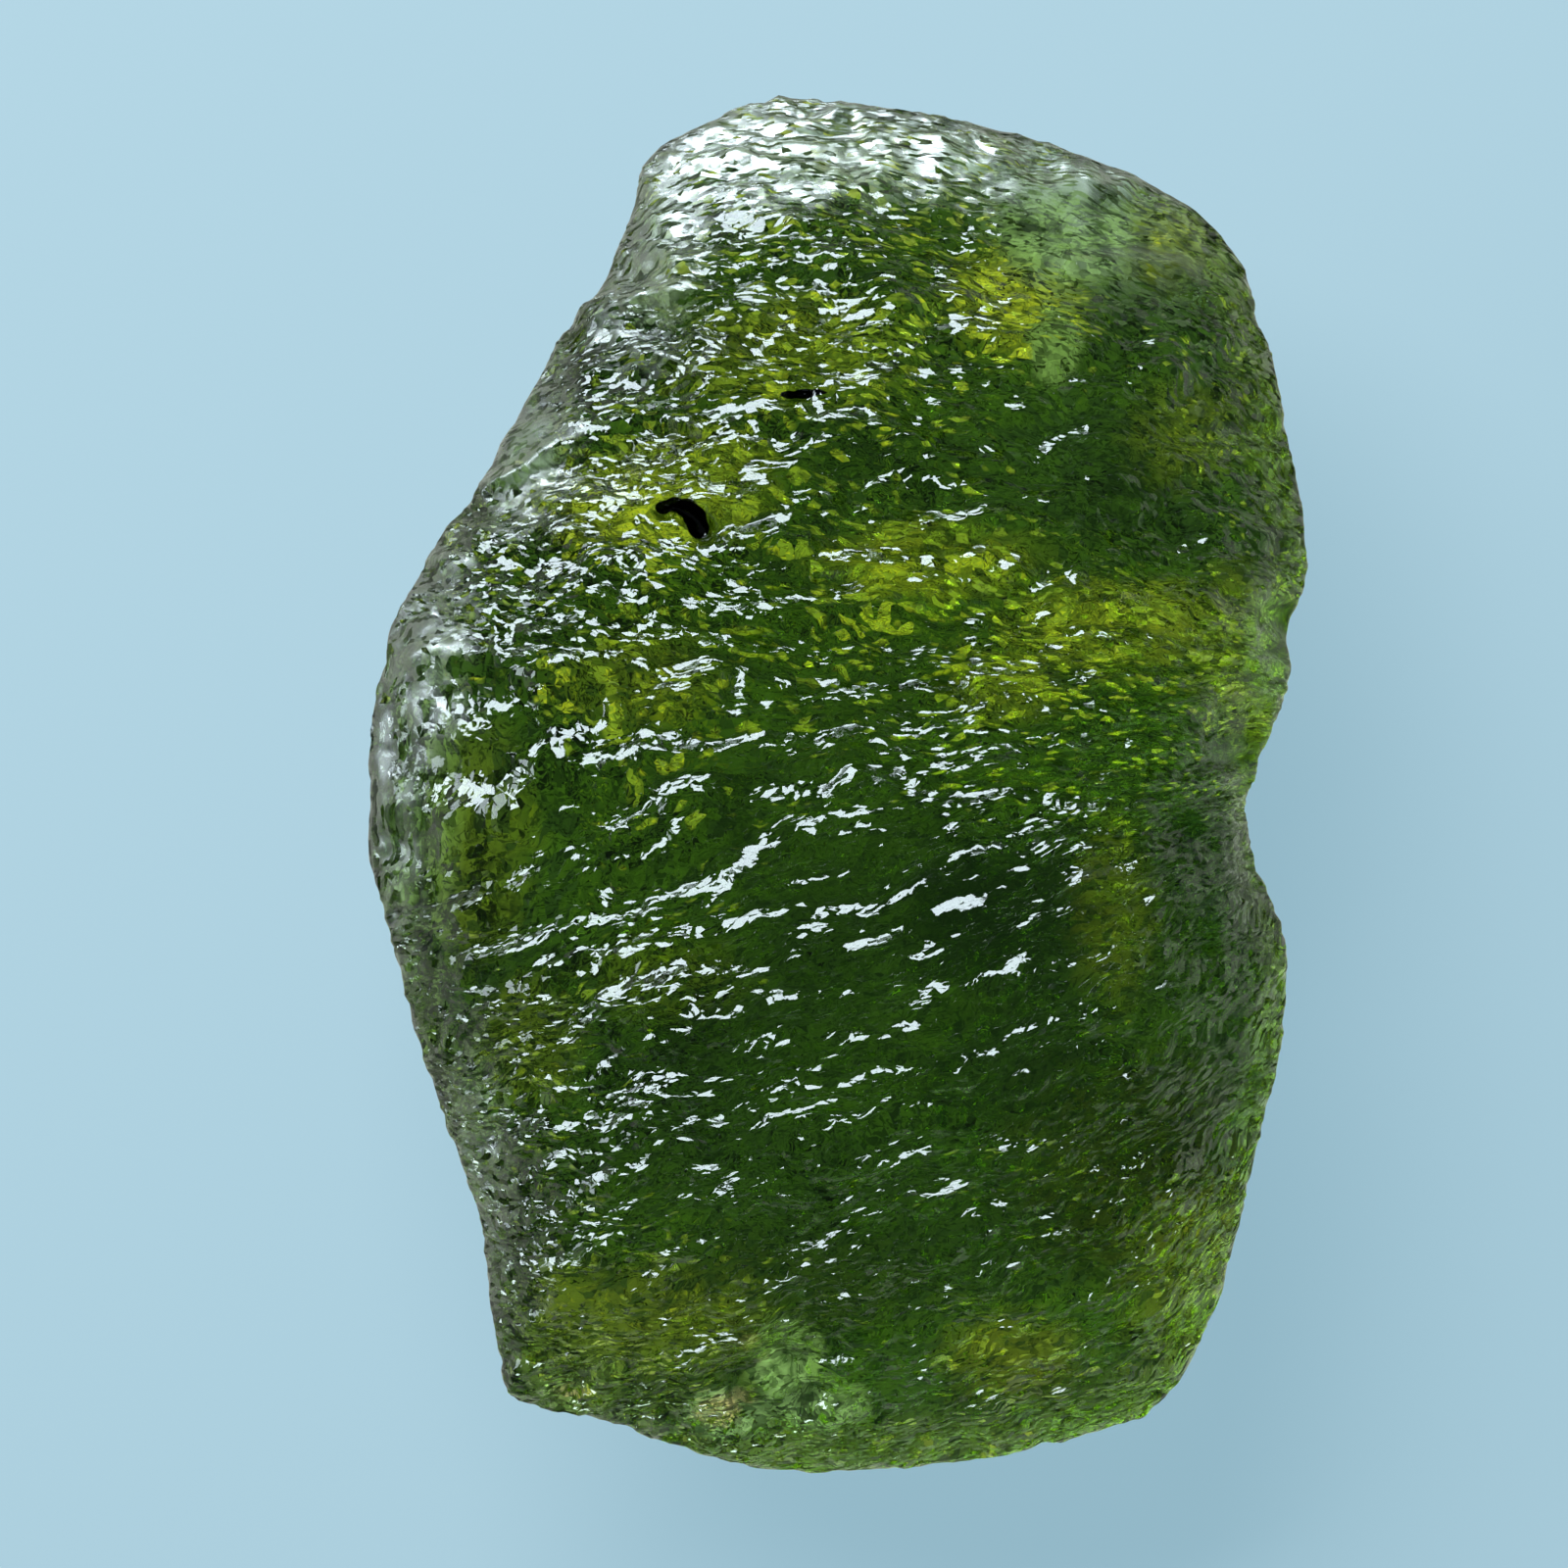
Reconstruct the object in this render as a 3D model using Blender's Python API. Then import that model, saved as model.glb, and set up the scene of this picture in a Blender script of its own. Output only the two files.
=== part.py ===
"""A moldavite, a lump of natural green glass, as one closed solid that lies on its back.

The weathered face looks up (+Z), the narrow crown of the stone points along +Y, and the origin is
the middle of its box on the plane that it rests on. Lengths here are in millimetres, seen from above
with the middle of the outline as the zero point, and they become metres when the mesh is written.
"""

import math
from typing import NamedTuple

import bmesh
import bpy
import numpy as np
from mathutils import Vector, noise


class Cloud(NamedTuple):
    """Soft noise: its height, the size of a lump along x, y and z, its pattern and its octaves."""

    height: float
    grain: tuple
    pattern: float
    octaves: int


# Driving dimensions
LENGTH = 68.0
FACE_RISE = 6.9
BACK_DEPTH = 7.9
TRIANGLES = 9400

# The outline seen from above, from the tip of the crown round by the left side
OUTLINE = (
    (-2.96, 34.05), (-6.30, 32.84), (-9.45, 30.81), (-10.18, 28.33), (-11.68, 24.31),
    (-13.38, 22.32), (-15.51, 18.93), (-17.64, 14.90), (-20.36, 11.37), (-22.54, 6.86),
    (-23.36, 0.85), (-22.83, -5.21), (-21.52, -9.96), (-19.68, -16.21), (-17.80, -21.50),
    (-16.72, -28.43), (-15.90, -30.40), (-12.31, -31.43), (-4.75, -33.76), (2.62, -33.86),
    (9.36, -33.13), (15.95, -30.71), (18.86, -25.38), (21.23, -17.18), (22.30, -9.82),
    (21.57, -5.50), (20.75, -1.48), (20.99, 0.95), (22.05, 3.66), (23.02, 8.17),
    (23.36, 12.19), (22.30, 16.94), (21.23, 22.03), (19.29, 26.64), (16.48, 29.01),
    (9.65, 31.82), (2.04, 33.32),
)

# How full each side is: 2 is a dome, more is a flatter face that falls off closer to the rim
FACE_FULLNESS = 4.2
BACK_FULLNESS = 3.0
RIM_ROUNDNESS = 0.08

# Broad swellings and hollows of one side: middle, reach along x and y, height
FACE_SWELLINGS = (
    ((6.5, -9.0), (14.0, 13.0), 0.8),
    ((-3.0, 13.0), (12.0, 9.0), 0.5),
    ((8.2, -5.2), (4.6, 2.8), 0.55),
    ((-9.2, -10.4), (4.2, 2.6), 0.45),
    ((16.2, -10.8), (2.8, 2.4), 0.40),
    ((-5.5, 27.0), (5.0, 3.0), 0.35),
    ((-13.0, -20.0), (9.0, 9.0), -0.6),
    ((14.5, 10.0), (7.0, 10.0), -0.5),
    ((-15.0, 3.0), (7.0, 12.0), -0.4),
    ((1.5, 6.0), (8.0, 3.0), -0.35),
    ((2.0, -24.0), (10.0, 3.5), -0.30),
)
BACK_SWELLINGS = (
    ((1.0, -2.5), (9.0, 10.0), 1.3),
    ((-13.0, 16.0), (10.0, 12.0), -1.2),
    ((10.0, 24.0), (12.0, 9.0), -1.6),
    ((-14.0, -18.0), (9.0, 10.0), -1.2),
    ((16.0, -24.0), (9.0, 8.0), -0.8),
)

# Worn bevels of the rim: a point of the cut and the way that the cut faces
BEVELS = (
    ((0.0, 30.2, 3.7), (-0.04, 0.50, 0.86)),
    ((10.0, 29.6, 3.2), (0.10, 0.52, 0.85)),
    ((-9.0, 28.6, 3.4), (-0.46, 0.40, 0.79)),
    ((19.2, 25.0, 2.6), (0.56, 0.30, 0.77)),
    ((-20.6, 5.0, 3.0), (-0.56, 0.16, 0.81)),
    ((-20.0, -11.5, 2.8), (-0.58, -0.08, 0.81)),
    ((19.9, -24.0, 1.6), (0.70, -0.22, 0.68)),
    ((16.5, 28.0, -3.2), (0.45, 0.40, -0.80)),
    ((-16.5, 15.0, -4.3), (-0.62, 0.25, -0.74)),
    ((-15.0, -27.0, -3.8), (-0.45, -0.48, -0.75)),
    ((19.5, -12.0, -4.9), (0.66, -0.10, -0.75)),
)

BEVEL_WOBBLE = Cloud(0.35, (6.0, 4.0, 6.0), 83.0, 2)

# Smooth scars, where a flake came away after the surface had weathered: the same, and their reach
SMOOTH_SCARS = (
    ((11.2, 26.6, 4.20), (0.17, 0.24, 0.955), 4.8),
    ((-14.6, 16.9, 3.45), (-0.36, 0.36, 0.86), 4.6),
)
SCAR_EDGE = 0.25

# Broad and middling unevenness of both sides, and how much of it is left on the upright rim
BROAD_LUMPS = Cloud(0.55, (17.0, 12.0, 14.0), 41.5, 2)
MIDDLING_LUMPS = Cloud(0.34, (4.6, 3.0, 4.6), 53.2, 3)
RIM_LUMPS = 0.45

# Flow ledges of the face: each tread climbs towards the crown and ends in a short step
LEDGE_SPACING = 2.3
LEDGE_HEIGHT = 0.66
STEP_SHARE = 0.34
CROWN_SLANT = 0.13
FOOT_SLANT = -0.30
FOOT_LEDGES = 0.70
SLANT_TURNS = (-6.0, 8.0)
LEDGE_WANDER = Cloud(1.7, (8.0, 5.0, 40.0), 3.7, 2)
LEDGE_RIPPLE = Cloud(0.8, (2.8, 2.4, 30.0), 7.1, 2)
LEDGE_BREAKS = Cloud(1.0, (4.6, 2.2, 30.0), 11.3, 2)
LEDGE_BREAK_RANGE = (-0.60, 0.25)

# Long furrows of the back, which run from crown to foot
FURROW_SPACING = 3.1
FURROW_DEPTH = 0.36
FURROW_WANDER = Cloud(2.2, (9.0, 26.0, 40.0), 21.9, 2)
FURROW_BREAKS = Cloud(1.0, (4.0, 14.0, 30.0), 31.1, 2)
FURROW_BREAK_RANGE = (-0.4, 0.4)

# Single bold ledges: the two ends of the lip, its height, and how far the ground behind it slopes
BOLD_LEDGES = (
    ((-13.2, 23.2), (-5.6, 24.0), 0.75, 2.2),
    ((-13.6, 20.4), (-4.5, 21.2), 0.45, 1.5),
    ((-17.6, 14.0), (-10.0, 17.6), 0.80, -1.8),
    ((1.2, 24.3), (9.6, 22.6), 0.60, 1.6),
    ((9.0, 21.6), (17.0, 20.0), 0.50, 1.4),
    ((-20.0, 11.6), (-12.0, 12.6), 0.40, 1.3),
    ((14.0, 21.0), (20.6, 21.8), 0.45, 1.2),
    ((-2.0, 11.0), (8.0, 9.6), 0.35, 1.5),
    ((-16.0, -17.0), (-8.0, -15.6), 0.40, 1.4),
)
LIP = 0.30
LIP_WANDER = Cloud(0.45, (2.6, 2.6, 20.0), 19.4, 2)
LIP_ENDS = (-0.08, 0.15)

# Shallow dishes and pits: middle, reach along x, y and z, depth
HOLLOWS = (
    ((-3.4, -29.4, 3.0), (3.5, 2.6, 3.0), 0.95),
    ((-1.3, -26.9, 4.2), (2.6, 1.9, 3.0), 0.55),
    ((-12.9, -29.2, 2.0), (1.3, 1.1, 3.0), 0.50),
    ((21.9, 7.6, 1.5), (1.9, 2.2, 2.6), 0.55),
    ((19.6, 2.4, 2.8), (2.3, 2.3, 3.0), 0.60),
    ((21.0, -2.6, 1.0), (1.9, 3.0, 3.4), 0.45),
    ((16.3, -2.3, 5.0), (1.7, 1.3, 3.0), 0.55),
    ((18.7, -3.0, 3.6), (1.2, 0.9, 3.0), 0.45),
    ((-8.6, 22.2, 5.0), (3.6, 1.2, 3.0), 0.45),
    ((-12.2, 15.2, 5.0), (3.0, 1.6, 3.0), 0.40),
    ((16.4, 12.4, 5.0), (1.9, 1.5, 3.0), 0.40),
    ((17.0, -8.0, 4.6), (1.8, 1.1, 3.0), 0.35),
    ((9.0, 14.0, -6.6), (4.2, 5.0, 4.0), 0.60),
    ((-9.5, -14.0, -6.3), (3.6, 4.6, 4.0), 0.55),
    ((7.5, -21.0, -6.0), (3.4, 4.0, 4.0), 0.50),
    ((-14.0, 4.0, -5.9), (3.2, 5.2, 4.0), 0.45),
)

DISH_STEEPNESS = 1.6
DISH_RAGGEDNESS = Cloud(0.22, (1.9, 1.9, 1.9), 67.0, 2)

# Deep pits, one bent like a comma and one a short slot: their beads, each a middle and a reach
PIT_DEPTH = 1.3
PIT_STEEPNESS = 2.5
PIT_BEADS = (
    ((-8.55, 13.10), (0.42, 0.34)),
    ((-7.95, 13.25), (0.50, 0.36)),
    ((-7.25, 13.05), (0.58, 0.44)),
    ((-6.75, 12.60), (0.60, 0.52)),
    ((-6.55, 12.10), (0.52, 0.50)),
    ((-2.10, 18.62), (0.45, 0.22)),
    ((-1.55, 18.66), (0.48, 0.22)),
)

# The worn spot that it rests on
REST_MIDDLE = (0.8, -1.6)
REST_REACH = (8.5, 7.0)
REST_CUT = 0.55
REST_CALM = 0.85

# How far a side must face up or down before its own relief starts, and where that is full
SIDE_RANGE = (0.15, 0.75)

# The starting ball, whose points are drawn towards its two faces, and how the thinning spares the face
BALL_DIVISIONS = 8
FACE_POINTS = 2.2
CURVE_STEPS = 12
FACE_CARE = 0.30

MM = 0.001
GLASS_GREEN = (0.105, 0.205, 0.040, 1.0)
GLASS_ROUGHNESS = 0.16
GLASS_IOR = 1.49
CREASE_ANGLE = math.radians(38.0)


def smooth_outline():
    """Return a closed Catmull-Rom curve through the outline's points, at the stone's real length."""
    points = np.array(OUTLINE)
    points *= LENGTH / np.ptp(points[:, 1])
    before = np.roll(points, 1, axis=0)
    after = np.roll(points, -1, axis=0)
    beyond = np.roll(points, -2, axis=0)
    stretches = []
    for step in range(CURVE_STEPS):
        t = step / CURVE_STEPS
        stretches.append(
            0.5 * (
                2.0 * points
                + (after - before) * t
                + (2.0 * before - 5.0 * points + 4.0 * after - beyond) * t ** 2
                + (3.0 * points - before - 3.0 * after + beyond) * t ** 3
            )
        )
    return np.stack(stretches, axis=1).reshape(-1, 2)


def swelling(x, y, middle, reach):
    """Return a soft round weight that is 1 at its middle and fades out past its reach."""
    return np.exp(-(((x - middle[0]) / reach[0]) ** 2 + ((y - middle[1]) / reach[1]) ** 2))


def swollen(x, y, depth, swellings):
    """Return the half thickness of one side before it is rounded off towards the edge."""
    result = np.full_like(x, depth)
    for middle, reach, height in swellings:
        result += height * swelling(x, y, middle, reach)
    return result


def body(directions):
    """Map directions on a ball to the plain body: the outline with two rounded faces."""
    curve = smooth_outline()
    curve_angles = np.arctan2(curve[:, 1], curve[:, 0])
    curve_radii = np.hypot(curve[:, 0], curve[:, 1])
    angles = np.arctan2(directions[:, 1], directions[:, 0])
    radii = np.interp(angles, curve_angles, curve_radii, period=2.0 * math.pi)

    across = np.hypot(directions[:, 0], directions[:, 1])
    latitude = np.arctan2(FACE_POINTS * np.abs(directions[:, 2]), across) / (0.5 * math.pi)
    share = 1.0 - latitude
    x = share * radii * np.cos(angles)
    y = share * radii * np.sin(angles)
    on_face = directions[:, 2] > 0.0
    face = swollen(x, y, FACE_RISE, FACE_SWELLINGS)
    back = swollen(x, y, BACK_DEPTH, BACK_SWELLINGS)
    rise = 1.0 - share ** np.where(on_face, FACE_FULLNESS, BACK_FULLNESS)
    rounded = np.sqrt(rise * (rise + RIM_ROUNDNESS) / (1.0 + RIM_ROUNDNESS))
    z = np.where(on_face, face, -back) * rounded
    return np.column_stack((x, y, z))


def cloudy(points, cloud):
    """Return a cloud's height at each point."""
    scaled = points / np.array(cloud.grain) + cloud.pattern
    values = [noise.fractal(Vector(place), 1.0, 2.0, cloud.octaves) for place in scaled]
    return cloud.height * np.array(values)


def saw(phase):
    """Return a wave that climbs slowly from 0 to 1 over a tread and falls back over a short step."""
    place = phase - np.floor(phase)
    climb = place / (1.0 - STEP_SHARE)
    fall = (1.0 - place) / STEP_SHARE
    return np.minimum(climb, fall)


def fade(value, low, high):
    """Return 0 below low, 1 above high and a smooth blend between them."""
    t = np.clip((value - low) / (high - low), 0.0, 1.0)
    return t * t * (3.0 - 2.0 * t)


def lumps(points, upward):
    """Return the broad and the middling unevenness, calmer on the upright rim."""
    calm = RIM_LUMPS + (1.0 - RIM_LUMPS) * np.abs(upward)
    return calm * (cloudy(points, BROAD_LUMPS) + cloudy(points, MIDDLING_LUMPS))


def flow_ledges(points):
    """Return the face's flow ledges, which tip one way at the crown and the other at the foot."""
    x, y = points[:, 0], points[:, 1]
    towards_crown = fade(y, *SLANT_TURNS)
    slant = FOOT_SLANT + (CROWN_SLANT - FOOT_SLANT) * towards_crown
    wander = cloudy(points, LEDGE_WANDER) + cloudy(points, LEDGE_RIPPLE)
    steps = saw((y + slant * x + wander) / LEDGE_SPACING)
    unbroken = fade(cloudy(points, LEDGE_BREAKS), *LEDGE_BREAK_RANGE)
    strength = FOOT_LEDGES + (1.0 - FOOT_LEDGES) * towards_crown
    return LEDGE_HEIGHT * strength * (steps - 0.5) * unbroken


def bold_ledges(points):
    """Return the single bold ledges, each a lip that drops on one side and slopes on the other."""
    height = np.zeros(len(points))
    wander = cloudy(points, LIP_WANDER)
    for start, end, rise, slope in BOLD_LEDGES:
        run = np.array(end) - np.array(start)
        length = np.linalg.norm(run)
        run /= length
        offset = points[:, :2] - np.array(start)
        along = offset @ run / length
        ahead = (offset[:, 1] * run[0] - offset[:, 0] * run[1]) * math.copysign(1.0, slope) + wander
        drop = np.exp(-np.maximum(ahead, 0.0) / LIP)
        ground = np.exp(np.minimum(ahead, 0.0) / abs(slope))
        ends = fade(along, *LIP_ENDS) * fade(1.0 - along, *LIP_ENDS)
        height += rise * ends * drop * ground
    return height


def furrows(points):
    """Return the back's long furrows, with round floors and narrow crests."""
    wander = cloudy(points, FURROW_WANDER)
    wave = np.abs(np.sin(math.pi * (points[:, 0] + wander) / FURROW_SPACING))
    unbroken = fade(cloudy(points, FURROW_BREAKS), *FURROW_BREAK_RANGE)
    return FURROW_DEPTH * (0.5 - wave) * unbroken


def dishes(points):
    """Return the shallow dishes, with a crisp rim that wanders a little."""
    depth = np.zeros(len(points))
    ragged = cloudy(points, DISH_RAGGEDNESS)
    for middle, reach, deep in HOLLOWS:
        nearness = 1.0 - (((points - np.array(middle)) / np.array(reach)) ** 2).sum(axis=1)
        depth -= deep * np.clip(DISH_STEEPNESS * (nearness + ragged), 0.0, 1.0)
    return depth


def relief(points, normals):
    """Return how far each point moves along its normal, with hardly any at the rest spot."""
    upward = normals[:, 2]
    face = fade(upward, *SIDE_RANGE)
    back = fade(-upward, *SIDE_RANGE)
    height = lumps(points, upward)
    height += face * (flow_ledges(points) + bold_ledges(points))
    height += back * furrows(points)
    rest = back * swelling(points[:, 0], points[:, 1], REST_MIDDLE, REST_REACH)
    return height * (1.0 - REST_CALM * rest) + dishes(points)


def unit(vector):
    """Return the vector at length 1."""
    vector = np.array(vector, dtype=float)
    return vector / np.linalg.norm(vector)


def wear_bevels(points):
    """Lay every point beyond a slightly wavy plane back onto it, as long wear does."""
    wobble = cloudy(points, BEVEL_WOBBLE)
    for place, facing in BEVELS:
        facing = unit(facing)
        beyond = (points - np.array(place)) @ facing + wobble
        points -= np.maximum(beyond, 0.0)[:, None] * facing


def split_flake(points, place, facing, reach):
    """Lay the points within reach and beyond a plane back onto it, as a lost flake does."""
    facing = unit(facing)
    offset = points - np.array(place)
    near = fade(1.0 - np.linalg.norm(offset, axis=1) / reach, 0.0, SCAR_EDGE)
    points -= (near * np.maximum(offset @ facing, 0.0))[:, None] * facing


def sink_pits(points, normals):
    """Sink the deep pits of the face straight down."""
    nearness = np.full(len(points), -1.0)
    for middle, reach in PIT_BEADS:
        offset = (points[:, :2] - np.array(middle)) / np.array(reach)
        nearness = np.maximum(nearness, 1.0 - (offset ** 2).sum(axis=1))
    depth = PIT_DEPTH * np.clip(PIT_STEEPNESS * nearness, 0.0, 1.0)
    points[:, 2] -= np.where(normals[:, 2] > 0.0, depth, 0.0)


def mesh_points(form):
    """Return the places and the normals of a bmesh's vertices as arrays."""
    form.normal_update()
    places = np.array([vertex.co for vertex in form.verts])
    normals = np.array([vertex.normal for vertex in form.verts])
    return places, normals


def set_points(form, places):
    """Move a bmesh's vertices to the given places."""
    for vertex, place in zip(form.verts, places):
        vertex.co = place


def sculpted_form():
    """Return the finely divided stone as a bmesh, in millimetres."""
    form = bmesh.new()
    bmesh.ops.create_icosphere(form, subdivisions=BALL_DIVISIONS, radius=1.0)
    directions, _ = mesh_points(form)
    places = body(directions)
    wear_bevels(places)
    set_points(form, places)
    places, normals = mesh_points(form)
    places += normals * relief(places, normals)[:, None]
    for place, facing, reach in SMOOTH_SCARS:
        split_flake(places, place, facing, reach)
    sink_pits(places, normals)
    set_points(form, places)
    return form


def glass_material():
    """Return the stone's plain green glass."""
    material = bpy.data.materials.new("moldavite_glass")
    material.use_nodes = True
    shader = material.node_tree.nodes["Principled BSDF"]
    shader.inputs["Base Color"].default_value = GLASS_GREEN
    shader.inputs["Roughness"].default_value = GLASS_ROUGHNESS
    shader.inputs["Metallic"].default_value = 0.0
    shader.inputs["IOR"].default_value = GLASS_IOR
    material.diffuse_color = GLASS_GREEN
    return material


def simplified(stone):
    """Thin the fine mesh to the wanted number of triangles, mostly where it is flat or at the back."""
    group = stone.vertex_groups.new(name="thinned")
    for vertex in stone.data.vertices:
        group.add([vertex.index], 1.0 - FACE_CARE if vertex.normal.z > 0.0 else 1.0, "REPLACE")
    thin = stone.modifiers.new("thin", "DECIMATE")
    thin.ratio = TRIANGLES / len(stone.data.polygons)
    thin.vertex_group = group.name
    thin.use_collapse_triangulate = True
    evaluated = stone.evaluated_get(bpy.context.evaluated_depsgraph_get())
    mesh = bpy.data.meshes.new_from_object(evaluated)
    stone.modifiers.remove(thin)
    stone.vertex_groups.remove(group)
    return mesh


def settle(mesh):
    """Grind the rest spot flat, put the box's middle over the origin and turn the mesh to metres."""
    places = np.array([vertex.co for vertex in mesh.vertices])
    ground = places[:, 2].min() + REST_CUT
    places[:, 2] = np.maximum(places[:, 2], ground) - ground
    places[:, :2] -= 0.5 * (places[:, :2].min(axis=0) + places[:, :2].max(axis=0))
    mesh.vertices.foreach_set("co", (places * MM).ravel())
    mesh.update()


def build():
    """Clear the scene and build the stone."""
    for old in list(bpy.data.objects):
        bpy.data.objects.remove(old, do_unlink=True)
    form = sculpted_form()
    mesh = bpy.data.meshes.new("moldavite")
    form.to_mesh(mesh)
    form.free()
    stone = bpy.data.objects.new("moldavite", mesh)
    bpy.context.scene.collection.objects.link(stone)
    stone.data = simplified(stone)
    settle(stone.data)
    stone.data.shade_smooth()
    stone.data.set_sharp_from_angle(angle=CREASE_ANGLE)
    stone.data.materials.append(glass_material())
    return stone


build()
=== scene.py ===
"""The finish of a moldavite: its etched skin, its see-through green glass and a plain studio.

The file is laid out as a Blender add-on and run as a script. The stone's fine skin is grown by
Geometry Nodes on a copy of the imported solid, and lies in the place of that solid. Lengths in the
node trees are in millimetres, and everything else is in metres.
"""

from functools import reduce
from typing import NamedTuple

import bmesh
import bpy
from bpy.props import FloatProperty, FloatVectorProperty, IntProperty, PointerProperty
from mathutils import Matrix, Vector


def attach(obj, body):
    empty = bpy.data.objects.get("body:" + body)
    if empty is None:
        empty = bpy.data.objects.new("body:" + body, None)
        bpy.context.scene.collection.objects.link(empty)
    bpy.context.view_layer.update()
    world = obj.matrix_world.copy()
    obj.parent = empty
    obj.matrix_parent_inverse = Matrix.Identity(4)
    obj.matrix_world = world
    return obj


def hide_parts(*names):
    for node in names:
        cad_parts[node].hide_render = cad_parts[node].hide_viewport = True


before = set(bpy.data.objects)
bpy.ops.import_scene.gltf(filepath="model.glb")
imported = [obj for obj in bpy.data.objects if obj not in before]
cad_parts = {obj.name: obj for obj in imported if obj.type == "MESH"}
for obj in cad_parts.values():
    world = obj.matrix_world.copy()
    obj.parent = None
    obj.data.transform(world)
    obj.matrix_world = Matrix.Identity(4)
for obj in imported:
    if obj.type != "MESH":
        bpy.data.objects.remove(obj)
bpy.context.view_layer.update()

bl_info = {
    "name": "Moldavite",
    "version": (1, 0, 0),
    "blender": (4, 5, 0),
    "location": "View3D > Sidebar > Moldavite",
    "description": "Grows the etched skin of a moldavite, gives it green glass and sets it in a plain studio",
    "category": "Object",
}

NODE = "moldavite"
STONE = "moldavite_stone"
MM = 0.001

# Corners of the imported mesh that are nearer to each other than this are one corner
CORNER_GAP = 1e-6

# A Mix node names its sockets alike for every kind of value, so those of a colour are told by their place
MIX_SHARE = 0
MIX_FIRST = 6
MIX_SECOND = 7
MIX_RESULT = 2


# Node trees


class Cloud(NamedTuple):
    """A soft noise: the size of its lumps along x, y and z, how far it swings, and its octaves."""

    grain: tuple
    swing: float
    octaves: float = 2.0


class Patches(NamedTuple):
    """Soft patches cut from a noise: its grain, the levels where they start and are full, its octaves."""

    grain: tuple
    start: float
    full: float
    octaves: float = 2.0


class Wire:
    """One output of a node tree. Python's arithmetic on wires adds the nodes that work it out."""

    def __init__(self, tree, socket):
        self.tree = tree
        self.socket = socket

    def is_vector(self):
        return self.socket.type == "VECTOR"

    def work(self, operation, *others):
        """Return this wire and the others through one Math or Vector Math node."""
        vector = any(isinstance(item, Wire) and item.is_vector() for item in (self, *others))
        kind = "ShaderNodeVectorMath" if vector else "ShaderNodeMath"
        values = dict(enumerate((self, *others)))
        return self.tree.node(kind, {"operation": operation}, values)

    def __add__(self, other):
        return self.work("ADD", other)

    def __radd__(self, other):
        return self.work("ADD", other)

    def __sub__(self, other):
        return self.work("SUBTRACT", other)

    def __rsub__(self, other):
        return (self * -1.0).work("ADD", other)

    def __mul__(self, other):
        return self.work("MULTIPLY", other)

    def __rmul__(self, other):
        return self.work("MULTIPLY", other)

    def __truediv__(self, other):
        return self.work("DIVIDE", other)

    def __pow__(self, power):
        return self.work("POWER", power)

    def fraction(self):
        return self.work("FRACT")

    def least(self, other):
        return self.work("MINIMUM", other)

    def most(self, other):
        return self.work("MAXIMUM", other)

    def length(self):
        return self.tree.node("ShaderNodeVectorMath", {"operation": "LENGTH"}, {0: self}, "Value")

    def fade(self, low, high):
        """Return 0 below low, 1 above high and a smooth blend between them; low may be above high."""
        settings = {"interpolation_type": "SMOOTHSTEP", "clamp": True}
        flip = low > high
        values = {"Value": self, "From Min": min(low, high), "From Max": max(low, high)}
        values["To Min"] = 1.0 if flip else 0.0
        values["To Max"] = 0.0 if flip else 1.0
        return self.tree.node("ShaderNodeMapRange", settings, values)


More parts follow.
